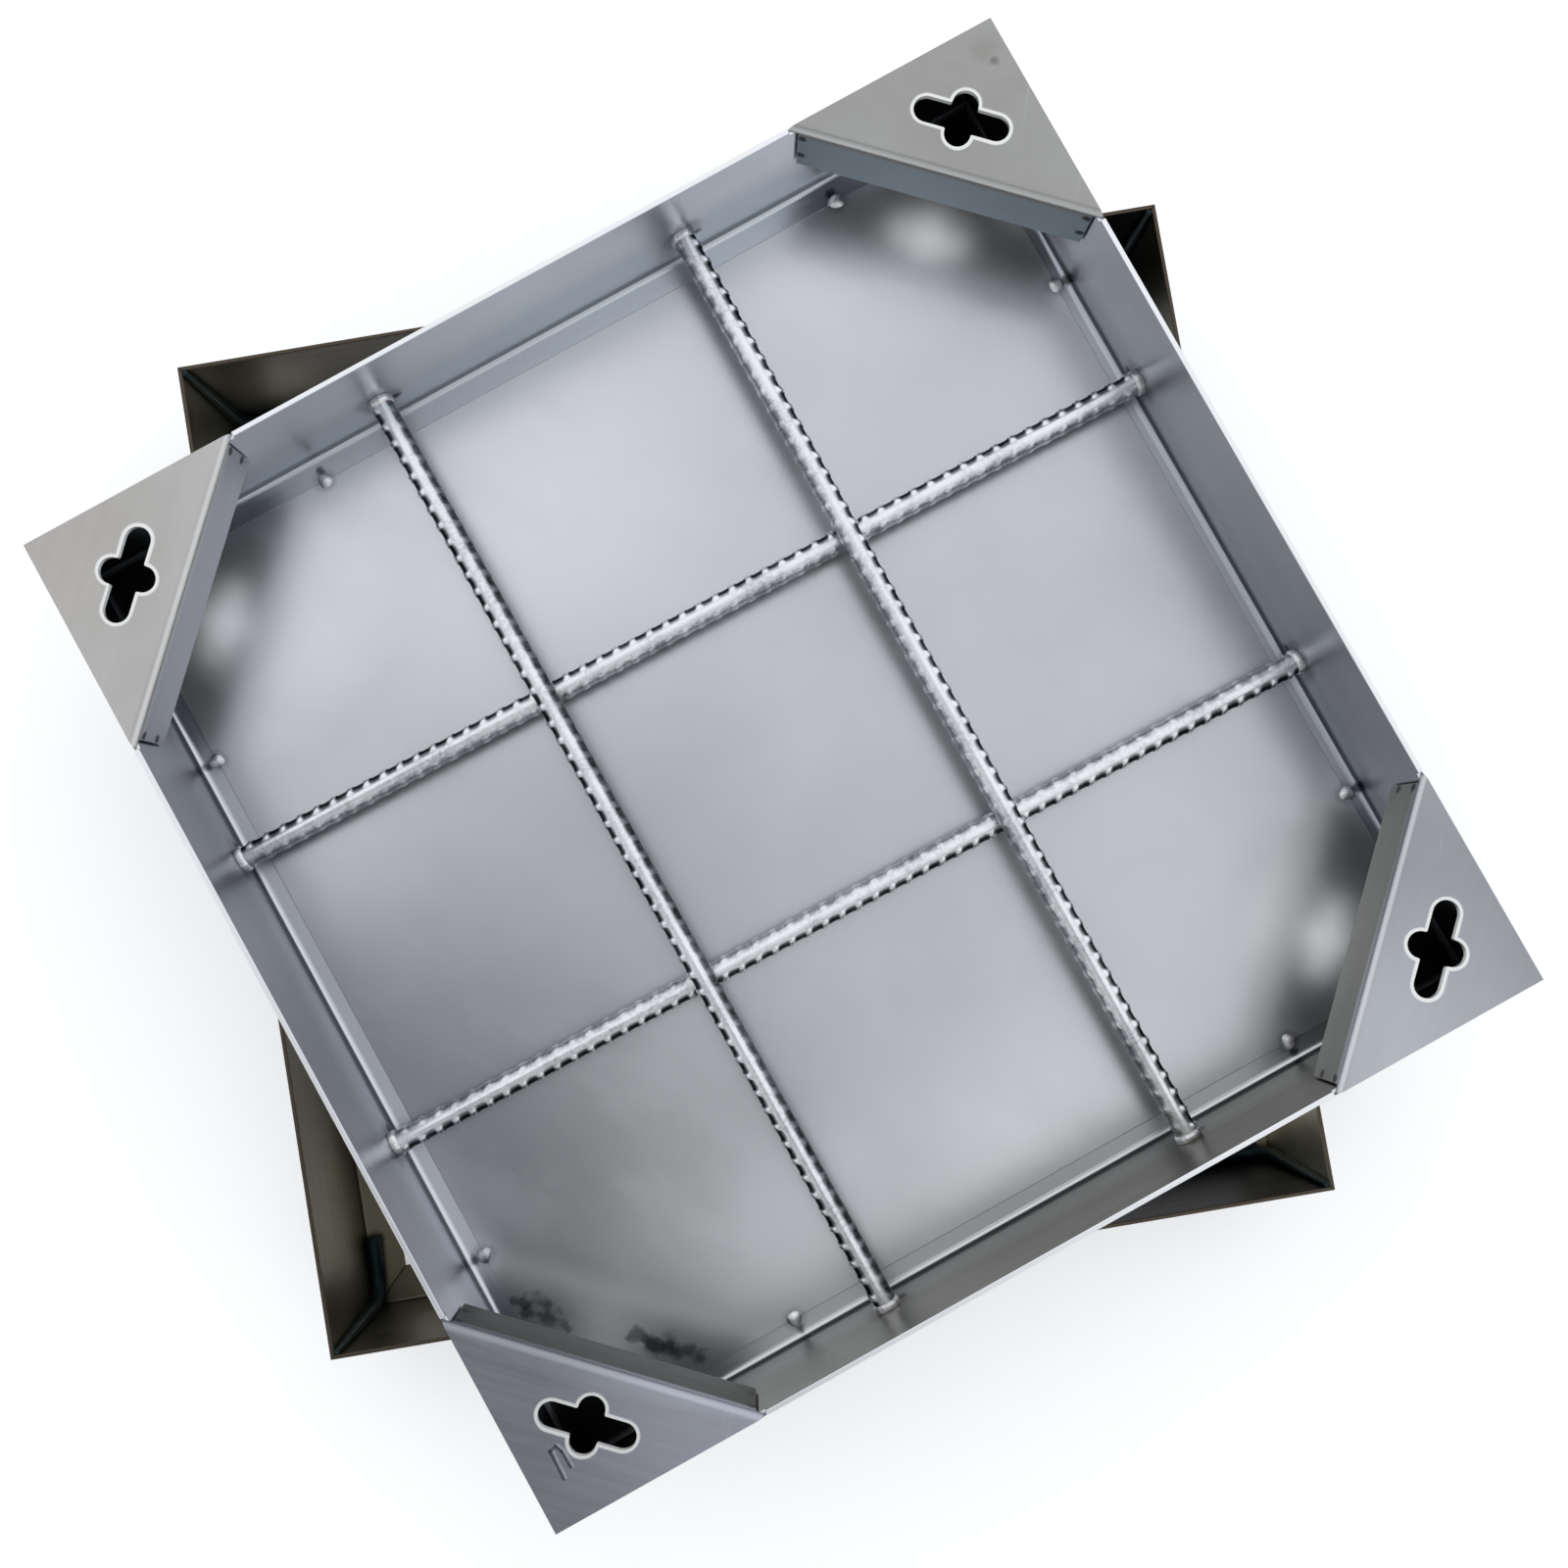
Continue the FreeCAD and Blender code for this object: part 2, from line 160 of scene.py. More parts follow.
def stainlessSheet(name, look):
    # Cold-rolled stainless sheet with a satin brush finish: it mirrors softly, a fine grain runs along the brushing,
    # and handling leaves cloudy patches, rubs, smudges and a few scratches.
    look = {**plainSheet, **look}
    material, tree = newMaterial(name)
    place = addNode(tree, "ShaderNodeTexCoord").outputs["Object"]
    raised = addNode(tree, "ShaderNodeSeparateXYZ", {"Vector": place}).outputs["Z"]
    turn = math.radians(look["grainTurn"])
    grain = noiseField(tree, place, look["grainWidth"] * mm, 3.0, 0.6, (look["grainLength"], 1, 1), turn)
    clouds = noiseField(tree, place, look["cloudSize"] * mm, 4.0, 0.55, shift=(0.3, 0.1, 0.2))
    rubs = noiseField(tree, place, look["rubSize"] * mm, 5.0, 0.62, (2.5, 1, 1), turn + 0.5)
    strokes = noiseField(tree, place, look["scratchWidth"] * mm, 1.0, 0.4, (22, 1, 1), 0.9)
    scratched = combined(tree, "MULTIPLY", ramped(tree, strokes, 0.72, 0.78), look["scratch"])
    rubbed = ramped(tree, rubs, 0.42, 0.72)
    cloudy = ramped(tree, clouds, 0.3, 0.7)
    base = blended(tree, cloudy, hexColour(look["dark"]), hexColour(look["light"]))
    # broad patches; on the walls and the floor these are painted light and painted shade
    base = marked(tree, place, base, look["patches"])
    if look["fold"]:
        # the folded flange below the flat part has its own tone, painted light and shade for the way that it faces
        low, high = look["foldEdge"]
        base = blended(tree, ramped(tree, raised, low * mm, high * mm), hexColour(look["fold"]), base)
    base = blended(tree, combined(tree, "MULTIPLY", rubbed, look["rub"]), base, hexColour(look["rubbed"]))
    base = blended(tree, scratched, base, hexColour(look["scratchColour"]))
    grainy = ramped(tree, grain, 0.25, 0.75, -0.03 * look["grainRough"], 0.05 * look["grainRough"])
    rough = combined(tree, "ADD", look["roughness"], grainy)
    rough = combined(tree, "ADD", rough, ramped(tree, rubbed, 0.0, 1.0, 0.0, look["rubRoughness"]))
    for band in look["bands"]:
        # a level stripe between two heights, along a bend or a seam; on the walls and the plates these are painted
        # highlights and painted shade
        low, high, ease, strength, colour = band
        within = combined(tree, "MULTIPLY", ramped(tree, raised, (low - ease) * mm, (low + ease) * mm),
                          ramped(tree, raised, (high - ease) * mm, (high + ease) * mm, strength, 0.0))
        base = blended(tree, within, base, hexColour(colour))
    base = marked(tree, place, base, look["marks"])
    if look["outward"]:
        # the outside of a side keeps the plain mill finish
        normal = addNode(tree, "ShaderNodeNewGeometry").outputs["True Normal"]
        facing = addNode(tree, "ShaderNodeVectorMath", {0: normal, 1: tuple(look["outward"])},
                         operation="DOT_PRODUCT").outputs["Value"]
        plain = blended(tree, cloudy, hexColour(look["outerDark"]), hexColour(look["outerLight"]))
        base = blended(tree, ramped(tree, facing, 0.4, 0.6), base, plain)
    if look["keyHole"]:
        # the bright ring round the cross-shaped key hole, partly the edge that the deburring wheel left bright and
        # partly a
        # painted highlight: what lies less than its width outside the two round-ended slots
        hole = look["keyHole"]
        nearest = combined(tree, "MINIMUM", *[distanceToLine(tree, place, *line) for line in hole["lines"]])
        bright = combined(tree, "ADD", nearest, ramped(tree, rubs, 0.3, 0.7, -0.35 * mm, 0.35 * mm))
        ring = ramped(tree, bright, (hole["reach"] - 0.5) * mm, (hole["reach"] + 0.5) * mm, 0.9, 0.0)
        base = blended(tree, ring, base, hexColour(look["haloColour"]))
        rough = combined(tree, "ADD", rough, combined(tree, "MULTIPLY", ring, 0.12))
    if look["rim"]:
        # what faces up above a height: a painted highlight on the walls' bare top edges, a tan tone on the frame's
        normal = addNode(tree, "ShaderNodeNewGeometry").outputs["True Normal"]
        facing = addNode(tree, "ShaderNodeSeparateXYZ", {"Vector": normal}).outputs["Z"]
        bare = combined(tree, "MULTIPLY", ramped(tree, facing, 0.5, 0.9),
                        ramped(tree, raised, (look["rimFrom"] - 2) * mm, (look["rimFrom"] + 2) * mm))
        base = blended(tree, bare, base, hexColour(look["rim"]))
    height = combined(tree, "ADD", combined(tree, "MULTIPLY", grain, look["grainHeight"]),
                      combined(tree, "MULTIPLY", clouds, look["wave"]))
    return finished(material, base, rough, height, 1.0, 1.0, Metallic=1.0)


# grain sizes in millimetres
barLook = {"scaleAndShade": "#141518", "worn": "#8d8f94", "bare": "#f3f4f6", "speckleSize": 1.2, "patchSize": 14}


def rolledBarSteel():
    # Hot-rolled ribbed stainless bar, pickled: bright where rubbed, dark scale in the hollows, with painted light and
    # shade on top: the tone attribute, from 0 for scale and painted shade to 1 for bare metal and painted highlight.
    material, tree = newMaterial("pickledBarSteelWithPaintedLight")
    place = addNode(tree, "ShaderNodeTexCoord").outputs["Object"]
    tone = addNode(tree, "ShaderNodeAttribute", attribute_name="tone").outputs["Fac"]
    speckle = noiseField(tree, place, barLook["speckleSize"] * mm, 3.0, 0.6)
    patches = noiseField(tree, place, barLook["patchSize"] * mm, 3.0, 0.6)
    worn = combined(tree, "ADD", tone, ramped(tree, speckle, 0.2, 0.8, -0.1, 0.1))
    worn = combined(tree, "ADD", worn, ramped(tree, patches, 0.3, 0.7, -0.09, 0.09))
    base = blended(tree, ramped(tree, worn, 0.0, 0.5), hexColour(barLook["scaleAndShade"]), hexColour(barLook["worn"]))
    base = blended(tree, ramped(tree, worn, 0.5, 0.95), base, hexColour(barLook["bare"]))
    rough = combined(tree, "ADD", ramped(tree, worn, 0.1, 0.9, 0.5, 0.3),
                     ramped(tree, speckle, 0.2, 0.8, -0.04, 0.04))
    return finished(material, base, rough, speckle, 0.25, 0.3, Metallic=1.0)


def weldMetal(name, look):
    # Weld metal as laid, wire brushed: bright crests, straw and grey heat tint in its ripples.
    material, tree = newMaterial(name)
    place = addNode(tree, "ShaderNodeTexCoord").outputs["Object"]
    speckle = noiseField(tree, place, 0.9 * mm, 4.0, 0.65)
    tint = noiseField(tree, place, 5 * mm)
    base = blended(tree, ramped(tree, tint, 0.3, 0.7), hexColour(look["dark"]), hexColour(look["light"]))
    base = blended(tree, ramped(tree, speckle, 0.5, 0.8, 0.0, 0.5), base, hexColour(look["tinted"]))
    rough = ramped(tree, speckle, 0.2, 0.8, look["roughness"] - 0.06, look["roughness"] + 0.1)
    return finished(material, base, rough, speckle, 0.5, 0.3, Metallic=1.0)


rubberLook = {"black": "#0d1116", "bloom": "#2b3236", "sheen": "#9fd6d8", "dustSize": 9, "gritSize": 0.8}


def cushionRubber():
    # Moulded black rubber, slightly bloomed: a soft blue-green sheen on what faces the sky, grey dust in places.
    material, tree = newMaterial("mouldedBlackRubber")
    place = addNode(tree, "ShaderNodeTexCoord").outputs["Object"]
    dust = noiseField(tree, place, rubberLook["dustSize"] * mm, 4.0, 0.6)
    grit = noiseField(tree, place, rubberLook["gritSize"] * mm)
    dusty = ramped(tree, dust, 0.5, 0.8, 0.0, 0.35)
    base = blended(tree, dusty, hexColour(rubberLook["black"]), hexColour(rubberLook["bloom"]))
    sheen = {"IOR": 1.52, "Specular Tint": hexColour(rubberLook["sheen"])}
    return finished(material, base, ramped(tree, dust, 0.3, 0.8, 0.38, 0.62), grit, 0.25, 0.2, **sheen)


# surfaces worked out as whole arrays

def surfacePiece(name, points, material, replaced, tone=None, closeAlong=False):
    # a mesh through a grid of points, rows along and columns around; open ends are closed by a centre point each
    rows, columns = points.shape[:2]
    vertices = points.reshape(-1, 3)
    row, column = np.meshgrid(np.arange(rows if closeAlong else rows - 1), np.arange(columns), indexing="ij")
    nextRow, nextColumn = (row + 1) % rows, (column + 1) % columns
    quads = np.stack([row * columns + column, row * columns + nextColumn, nextRow * columns + nextColumn,
                      nextRow * columns + column], axis=-1).reshape(-1, 4)
    faces = quads.tolist()
    if not closeAlong:
        ends = np.stack([points[0].mean(0), points[-1].mean(0)])
        first, last = len(vertices), len(vertices) + 1
        vertices = np.concatenate([vertices, ends])
        ring = np.arange(columns)
        after = (ring + 1) % columns
        faces += np.stack([after, ring, np.full(columns, first)], axis=-1).tolist()
        top = (rows - 1) * columns
        faces += np.stack([top + ring, top + after, np.full(columns, last)], axis=-1).tolist()
    mesh = bpy.data.meshes.new(name)
    mesh.from_pydata(vertices.tolist(), [], faces)
    if tone is not None:
        flat = np.zeros(len(vertices), np.float32)
        flat[:tone.size] = tone.reshape(-1)
        mesh.attributes.new("tone", "FLOAT", "POINT").data.foreach_set("value", flat)
    mesh.shade_smooth()
    piece = bpy.data.objects.new(name, mesh)
    bpy.context.scene.collection.objects.link(piece)
    settle(piece)
    return dressed(piece, material, replaced)


def settle(piece):
    # makes every face of a closed mesh point outwards
    work = bmesh.new()
    work.from_mesh(piece.data)
    bmesh.ops.recalc_face_normals(work, faces=work.faces)
    work.to_mesh(piece.data)
    work.free()


def dressed(piece, material, replaced):
    # gives a piece its material and the body that it rides on, and hides the CAD node that it stands for
    piece.data.materials.clear()
    piece.data.materials.append(material)
    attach(piece, "root")
    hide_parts(replaced)
    return piece


# lengths in millimetres, angles in degrees
sheetEdges = {"edgeRadius": 0.45, "mergeReach": 0.002, "flatAngle": 1.0, "edgeAngle": 35.0, "smoothAngle": 30.0}


def foldedSheet(node, material):
    # the node's own sheet, its triangles merged into whole faces, with its cut edges taken off a little
    piece = bpy.data.objects.new(node + "_sheet", nodes[node].data.copy())
    bpy.context.scene.collection.objects.link(piece)
    work = bmesh.new()
    work.from_mesh(piece.data)
    bmesh.ops.remove_doubles(work, verts=work.verts, dist=sheetEdges["mergeReach"] * mm)
    bmesh.ops.dissolve_limit(work, angle_limit=math.radians(sheetEdges["flatAngle"]), verts=work.verts,
                             edges=work.edges)
    work.to_mesh(piece.data)
    work.free()
    bevel = piece.modifiers.new("takenOffEdges", "BEVEL")
    bevel.width = sheetEdges["edgeRadius"] * mm
    bevel.segments = 2
    bevel.limit_method = "ANGLE"
    bevel.angle_limit = math.radians(sheetEdges["edgeAngle"])
    piece.data.shade_smooth()
    piece.data.set_sharp_from_angle(angle=math.radians(sheetEdges["smoothAngle"]))
    return dressed(piece, material, node)


# radii, heights and lengths in millimetres; tones from 0 for scale and painted shade to 1 for bare metal and painted
# highlight, each pair the hollow's and the rib's; a slant is the shift across for each unit along
# the top tone is a painted highlight, the under tone painted shade, and each bar's inner tones painted light and
# shade
barShape = {
    "core": 6.4, "ridge": 0.5, "ridgeWidth": 0.07, "rib": 1.2, "pitch": 10.9, "ribWidth": 7.6, "innerRib": 0.45,
    "lean": 0.35, "plainEnd": 8.0, "flankFrom": 0.28, "flankWidth": 0.5, "around": 48, "step": 0.55,
    "topHighlightTone": 0.87, "topReach": 0.62, "topShift": 0.07, "topSoftness": 0.26, "outerTones": (0.06, 1.0),
    "underShadeTone": 0.35, "underRib": 0.2, "ribToneFrom": 0.3, "ribToneWidth": 0.4,
    "slants": {"lower_bar_1": -0.016, "lower_bar_2": -0.014, "upper_bar_1": -0.0075, "upper_bar_2": 0.0},
    "innerTones": {"lower_bar_1": (0.7, 0.8), "lower_bar_2": (0.65, 0.75), "upper_bar_1": (0.2, 0.42),
                   "upper_bar_2": (0.62, 0.74)}}


def ribbedBar(node, material):
    # radius = core + a low hump at the top and the bottom + at every pitch a rib that is a raised cosine along the
    # bar and crescent shaped round it, gone before it meets the humps, and lower on the side towards the tray's
    # middle, where the bars are rubbed; across grows by slant times along
    low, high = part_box(node)
    size = high - low
    alongX = size.x > size.y
    half = max(size.x, size.y) / 2 / mm
    middle = (low + high) / 2
    angle = np.linspace(0, 2 * np.pi, barShape["around"], endpoint=False)[None, :]
    along = np.linspace(-half, half, int(2 * half / barShape["step"]))[:, None]
    leaned = along - barShape["lean"] * barShape["core"] * np.cos(angle)
    reach = half - barShape["plainEnd"]
    count = int(2 * reach / barShape["pitch"]) + 1
    start = -(count - 1) * barShape["pitch"] / 2
    nearest = np.clip(np.round((leaned - start) / barShape["pitch"]), 0, count - 1) * barShape["pitch"] + start
    offset = np.clip(np.abs(leaned - nearest) / (barShape["ribWidth"] / 2), 0, 1)
    rib = 0.5 + 0.5 * np.cos(np.pi * offset)
    flank = np.clip((np.abs(np.cos(angle)) - barShape["flankFrom"]) / barShape["flankWidth"], 0, 1)
    crescent = flank * flank * (3 - 2 * flank)
    ridge = np.exp(-((np.abs(np.sin(angle)) - 1) / barShape["ridgeWidth"]) ** 2)
    # from 0 on the flank towards the tray's middle to 1 on the flank away from it
    outward = np.cos(angle) * (np.sign(middle.y) if alongX else -np.sign(middle.x))
    side = np.clip(outward * 2 + 0.5, 0, 1)
    relief = barShape["rib"] * (barShape["innerRib"] + (1 - barShape["innerRib"]) * side)
    radius = barShape["core"] + np.maximum(relief * rib * crescent, barShape["ridge"] * ridge)
    across, up = radius * np.cos(angle), radius * np.sin(angle)
    place = along + 0 * angle
    aside = barShape["slants"][node] * place
    axes = (place, across + aside, up) if alongX else (aside - across, place, up)
    points = np.stack(axes, axis=-1) * mm + np.array(middle)
    # the tone: a painted highlight along the top, dark hollows between bright ribs on the flank away from the tray's
    # middle, partly scale and partly painted shade, and towards it a rubbed grey flank with painted light and shade
    outer, inner = barShape["outerTones"], barShape["innerTones"][node]
    hollow, crest = inner[0] + (outer[0] - inner[0]) * side, inner[1] + (outer[1] - inner[1]) * side
    tone = hollow + (crest - hollow) * np.clip((rib - barShape["ribToneFrom"]) / barShape["ribToneWidth"], 0, 1)
    topReach = barShape["topReach"] + barShape["topShift"] * side
    top = np.clip((topReach - np.abs(np.cos(angle))) / barShape["topSoftness"], 0, 1) * (np.sin(angle) > 0)
    tone = tone + (barShape["topHighlightTone"] - tone) * top
    # painted shade underneath the bar
    under = np.clip(-np.sin(angle) * 3, 0, 1)
    tone = tone + (barShape["underShadeTone"] + barShape["underRib"] * rib - tone) * under
    return surfacePiece(node + "_ribbed", points, material, node, tone)


# in millimetres
collarShape = {"bore": 6.3, "wide": 7.6, "margin": 0.5, "flare": 1.3, "belly": 0.5, "sag": 0.5, "ripple": 0.2,
               "ripples": 17, "lump": 0.35, "around": 72, "profile": 12}


def weldCollar(node, material, seed):
    # a ring round the bar: its section is a bulged quarter between bar and wall, with ripples and slow lumps round it
    low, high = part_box(node)
    size = (high - low) / mm
    middle = (low + high) / 2
    alongX = size.x < size.y
    length, wide = min(size.x, size.y), collarShape["wide"]
    outward = 1.0 if (middle.x if alongX else middle.y) > 0 else -1.0
    angle = np.linspace(0, 2 * np.pi, collarShape["around"], endpoint=False)[None, :]
    turn = np.linspace(0, 1, collarShape["profile"])[:, None]
    narrow = collarShape["bore"] + collarShape["margin"]
    lumps = collarShape["lump"] * (np.sin(2 * angle + seed) + 0.6 * np.sin(5 * angle + 2.3 * seed)) / 1.6
    ripple = collarShape["ripple"] * np.abs(np.sin(collarShape["ripples"] * angle / 2 + 1.5 * turn))
    bulge = np.sin(np.pi * turn) * (collarShape["belly"] + lumps + ripple)
    radius = narrow + (wide - narrow) * turn ** collarShape["flare"] + bulge
    toWall = length * (turn - 0.5) - collarShape["sag"] * np.sin(np.pi * turn)
    radius = np.concatenate([radius, np.full((2, angle.shape[1]), collarShape["bore"])])
    toWall = np.concatenate([toWall, np.full((1, 1), length / 2), np.full((1, 1), -length / 2)]) + 0 * radius
    radius = np.minimum(radius, wide + collarShape["margin"])
    across, up = radius * np.cos(angle), radius * np.sin(angle)
    axes = (outward * toWall, across, up) if alongX else (across, outward * toWall, up)
    points = np.stack(axes, axis=-1) * mm + np.array(middle)
    return surfacePiece(node + "_collar", points, material, node, closeAlong=True)


# in millimetres; solid is the radius of the CAD node's bead, which lies against the floor plate's edge
beadShape = {"solid": 4.4, "radius": 5.0, "height": 3.9, "lumps": (0.07, 0.05), "ripple": 0.16, "rippleTurn": 4.2,
             "top": 0.97, "around": 40, "rise": 14}


def tackBead(node, material, seed):
    # a dome on the wall's foot: an ellipse in section, pushed about by slow lumps, with ripples lying over each other
    low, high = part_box(node)
    towardX = (high - low).x < (high - low).y
    middle = (low + high) / 2
    if towardX:
        centre = (high.x - beadShape["solid"] * mm if middle.x > 0 else low.x + beadShape["solid"] * mm, middle.y)
    else:
        centre = (middle.x, high.y - beadShape["solid"] * mm if middle.y > 0 else low.y + beadShape["solid"] * mm)
    angle = np.linspace(0, 2 * np.pi, beadShape["around"], endpoint=False)[None, :]
    rise = np.linspace(0, beadShape["top"], beadShape["rise"])[:, None] * np.pi / 2
    three, two = beadShape["lumps"]
    lump = 1 + three * np.sin(3 * angle + seed) + two * np.sin(2 * angle + 2 * seed)
    radius = beadShape["radius"] * np.cos(rise) * lump
    across, along = radius * np.cos(angle), radius * np.sin(angle)
    travelled = across * math.cos(seed) + along * math.sin(seed)
    ripple = beadShape["ripple"] * np.sin(travelled * beadShape["rippleTurn"]) * np.cos(rise)
    up = beadShape["height"] * np.sin(rise) + ripple * np.sin(rise)
    points = np.stack([across, along, up], axis=-1) * mm + np.array([centre[0], centre[1], low.z])
    return surfacePiece(node + "_bead", points, material, node)


# in millimetres: the radii at the tip and at the foot, the run along the frame's foot, the path's bend, the play to
# the frame, the rounded lip, and the frame's gauge, half width and height
cushionShape = {"tip": 1.8, "foot": 5.6, "run": 46.0, "turn": 16.0, "play": 0.15, "lip": 1.6, "lipGirth": 0.72,
                "around": 28, "steps": 90, "sheet": 2.5, "frameHalf": 303.5, "height": 106.0}


def cornerCushion(node, quarter, material):
    # a tube that thickens along its path: down the corner, round a quarter circle and along the frame's foot, with a
    # rounded lip at its foot end
    shape = cushionShape
    inside = shape["frameHalf"] - shape["sheet"]
    drop = shape["height"] - shape["sheet"] - shape["turn"] - shape["foot"]
    arc = math.pi / 2 * shape["turn"]
    flat = shape["run"] - shape["turn"] - shape["foot"]
    length = drop + arc + flat
    travelled = np.linspace(0, length, shape["steps"])[:, None]
    bend = np.clip((travelled - drop) / arc, 0, 1) * np.pi / 2
    gap = shape["tip"] + (shape["foot"] - shape["tip"]) * travelled / length + shape["play"]
    lip = np.clip((length - travelled) / shape["lip"], 0, 1)
    rounded = shape["lipGirth"] + (1 - shape["lipGirth"]) * np.sqrt(1 - (1 - lip) ** 2)
    girth = (gap - shape["play"]) * rounded
    angle = np.linspace(0, 2 * np.pi, shape["around"], endpoint=False)[None, :]
    down = np.where(travelled <= drop, travelled, drop + shape["turn"] * np.sin(bend))
    back = gap + shape["turn"] * (1 - np.cos(bend)) + np.clip(travelled - drop - arc, 0, None)
    x = inside - gap + girth * np.cos(angle)
    y = inside - back - girth * np.sin(angle) * np.cos(bend)
    z = shape["height"] - down + girth * np.sin(angle) * np.sin(bend)
    points = np.stack([x, y, z], axis=-1)
    spin = math.radians(frameTurn + 90 * quarter)
    turned = np.stack([points[..., 0] * math.cos(spin) - points[..., 1] * math.sin(spin),
                       points[..., 0] * math.sin(spin) + points[..., 1] * math.cos(spin), points[..., 2]], axis=-1)
    return surfacePiece(node + "_moulded", turned * mm, material, node)


# the tray and the frame

# the tray's middle, the way to each of its corners, and the way that each of its sides faces
trayCentre = ((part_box("tray_wall_left")[0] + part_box("tray_wall_right")[1]) / 2).to_2d()
quarters = {"top": (1, 1), "left": (-1, 1), "bottom": (-1, -1), "right": (1, -1)}
outwards = {"back": Vector((0, 1, 0)), "left": Vector((-1, 0, 0)), "front": Vector((0, -1, 0)),
            "right": Vector((1, 0, 0))}


def inTray(x, y, z):
    # a place given in millimetres from the tray's middle
    return Vector((trayCentre.x + x * mm, trayCentre.y + y * mm, z * mm))


weldReach = 8  # a collar whose middle lies nearer to a wall than this is on it, in millimetres


def weldPlaces(side):
    # where the bars' collars meet this wall
    wallLow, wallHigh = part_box("tray_wall_" + side)
    places = []
    for name in nodes:
        if "_bar_" in name and "_weld_" in name:
            low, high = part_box(name)
            middle = (low + high) / 2
            near = [max(wallLow[i] - middle[i], middle[i] - wallHigh[i], 0) for i in range(3)]
            if Vector(near).length < weldReach * mm:
                places.append(middle)
    return places


def marksAt(places, inner, outer, strength, colour, ragged=3, raggedSize=6):
    # the same mark at several places, a place being a point or the two ends of a line
    return [{"at": place, "inner": inner, "outer": outer, "strength": strength, "colour": colour, "ragged": ragged,
             "raggedSize": raggedSize} for place in places]


def lineInTray(x0, y0, x1, y1, z):
    # the two ends of a level line, in millimetres from the tray's middle
    return inTray(x0, y0, z), inTray(x1, y1, z)


def patchesFrom(table, z, ragged, raggedSize):
    # a broad mark for each row of a table: x and y in the tray, inner and outer reach, strength and colour
    return [mark for x, y, *tone in table for mark in marksAt([inTray(x, y, z)], *tone, ragged, raggedSize)]


beadPlaces, pitPlaces = [], []
for side in sideNames:
    for index in ("_1", "_2"):
        low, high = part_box("floor_weld_" + side + index)
        beadPlaces.append((low + high) / 2)
        pitPlaces.append((low + high) / 2 + outwards[side] * 6.5 * mm)
# heat tint round each tack bead, and a painted shadow dot beside it towards the wall
beadMarks = marksAt(beadPlaces, 5, 9, 0.3, "#5b5b5e", 1, 3) + marksAt(pitPlaces, 1.5, 4.5, 0.8, "#1a1b1f", 1, 3)
# painted shade in the four corners under the corner plates, on the walls and the floor
sootyCorners = marksAt([inTray(x * 285, y * 285, 140) for x, y in quarters.values()], 26, 52, 0.9, "#15161a", 6, 20)
# the sides are one sheet whose tones are painted light and shade, darkest at the front, with broad painted patches;
# foot and line are the painted tones of the flat foot and of the highlight along its bend, and creaseShade is how
# dark the painted shade in the bend's crease is
wallLooks = {
    "back": {"dark": "#bac2c9", "light": "#c8cfd6", "rubbed": "#d2d8dd", "roughness": 0.31, "foot": "#c0c4cc",
             "line": "#ccd3da", "creaseShade": 0.5, "patches": [(80, 300, 60, 260, 0.75, "#e2e8ee")]},
    "left": {"dark": "#a3a7af", "light": "#b1b5bd", "rubbed": "#bbbec2", "roughness": 0.31, "foot": "#c2c5cc",
             "line": "#dcdfe7", "creaseShade": 0.6, "patches": [(-300, 230, 40, 280, 0.72, "#7b7f87"),
                                                           (-300, -150, 10, 130, 0.6, "#d2d5dc")]},
    "front": {"dark": "#66655d", "light": "#74736b", "rubbed": "#828079", "roughness": 0.33, "foot": "#c8c9cc",
              "line": "#dedfe1", "creaseShade": 0.85, "patches": [(-170, -300, 10, 190, 0.85, "#9d9c98")]},
    "right": {"dark": "#a9aeb5", "light": "#b9bec4", "rubbed": "#c6c9cc", "roughness": 0.31, "foot": "#c6c8ce",
              "line": "#bcc2cc", "creaseShade": 0.6, "patches": [(300, 230, 20, 200, 0.5, "#b4b9ba")]},
}
# level stripes on every wall: lower and upper height, how soft its borders are, and how strong it is: a painted
# light wash above the foot, the foot's painted tone, a painted highlight along the bend and painted shade in its
# crease
wallBands = {"paintedLightWash": (126.5, 158, 12, 0.18), "foot": (100, 125.2, 0.1, 0.9), "line": (125.3, 126.2, 0.15, 0.95),
             "creaseShade": (126.5, 129.5, 0.4)}
for side in sideNames:
    # the walls' bare top edges get a painted highlight
    look = dict(wallLooks[side], rim="#f4f5f7", rimFrom=202, outward=outwards[side])
    look["grainTurn"] = 0 if side in ("back", "front") else 90
    look["patches"] = patchesFrom(look["patches"], 170, 10, 60)
    welds = weldPlaces(side)
    along = Vector((abs(outwards[side].y), abs(outwards[side].x), 0))
    pits = [place + along * 9 * mm - Vector((0, 0, 6 * mm)) for place in welds]
    # heat tint round the bars' collars, and a painted shadow dot beside each collar
    look["marks"] = marksAt(welds, 8, 17, 0.5, "#5c5955") + marksAt(pits, 2, 5, 0.9, "#0d0e11", 1, 3)
    look["marks"] += beadMarks + sootyCorners
    # the flat foot is painted as light as the floor under a painted light wash; the bend gets a painted highlight
    # and painted shade in its crease
    look["bands"] = [(*wallBands["paintedLightWash"], "#dfe1e6"), (*wallBands["foot"], look["foot"]),
                     (*wallBands["line"], look["line"]), (*wallBands["creaseShade"], look["creaseShade"], "#45474d")]
    foldedSheet("tray_wall_" + side, stainlessSheet("brushedStainlessWallLitShaded_" + side, look))

baseSteel = stainlessSheet("brushedStainlessBaseAngle", {
    "dark": "#aeb3ba", "light": "#c2c6cb", "rubbed": "#d0d2d4", "roughness": 0.3})
for side in sideNames:
    foldedSheet("base_angle_" + side, baseSteel)

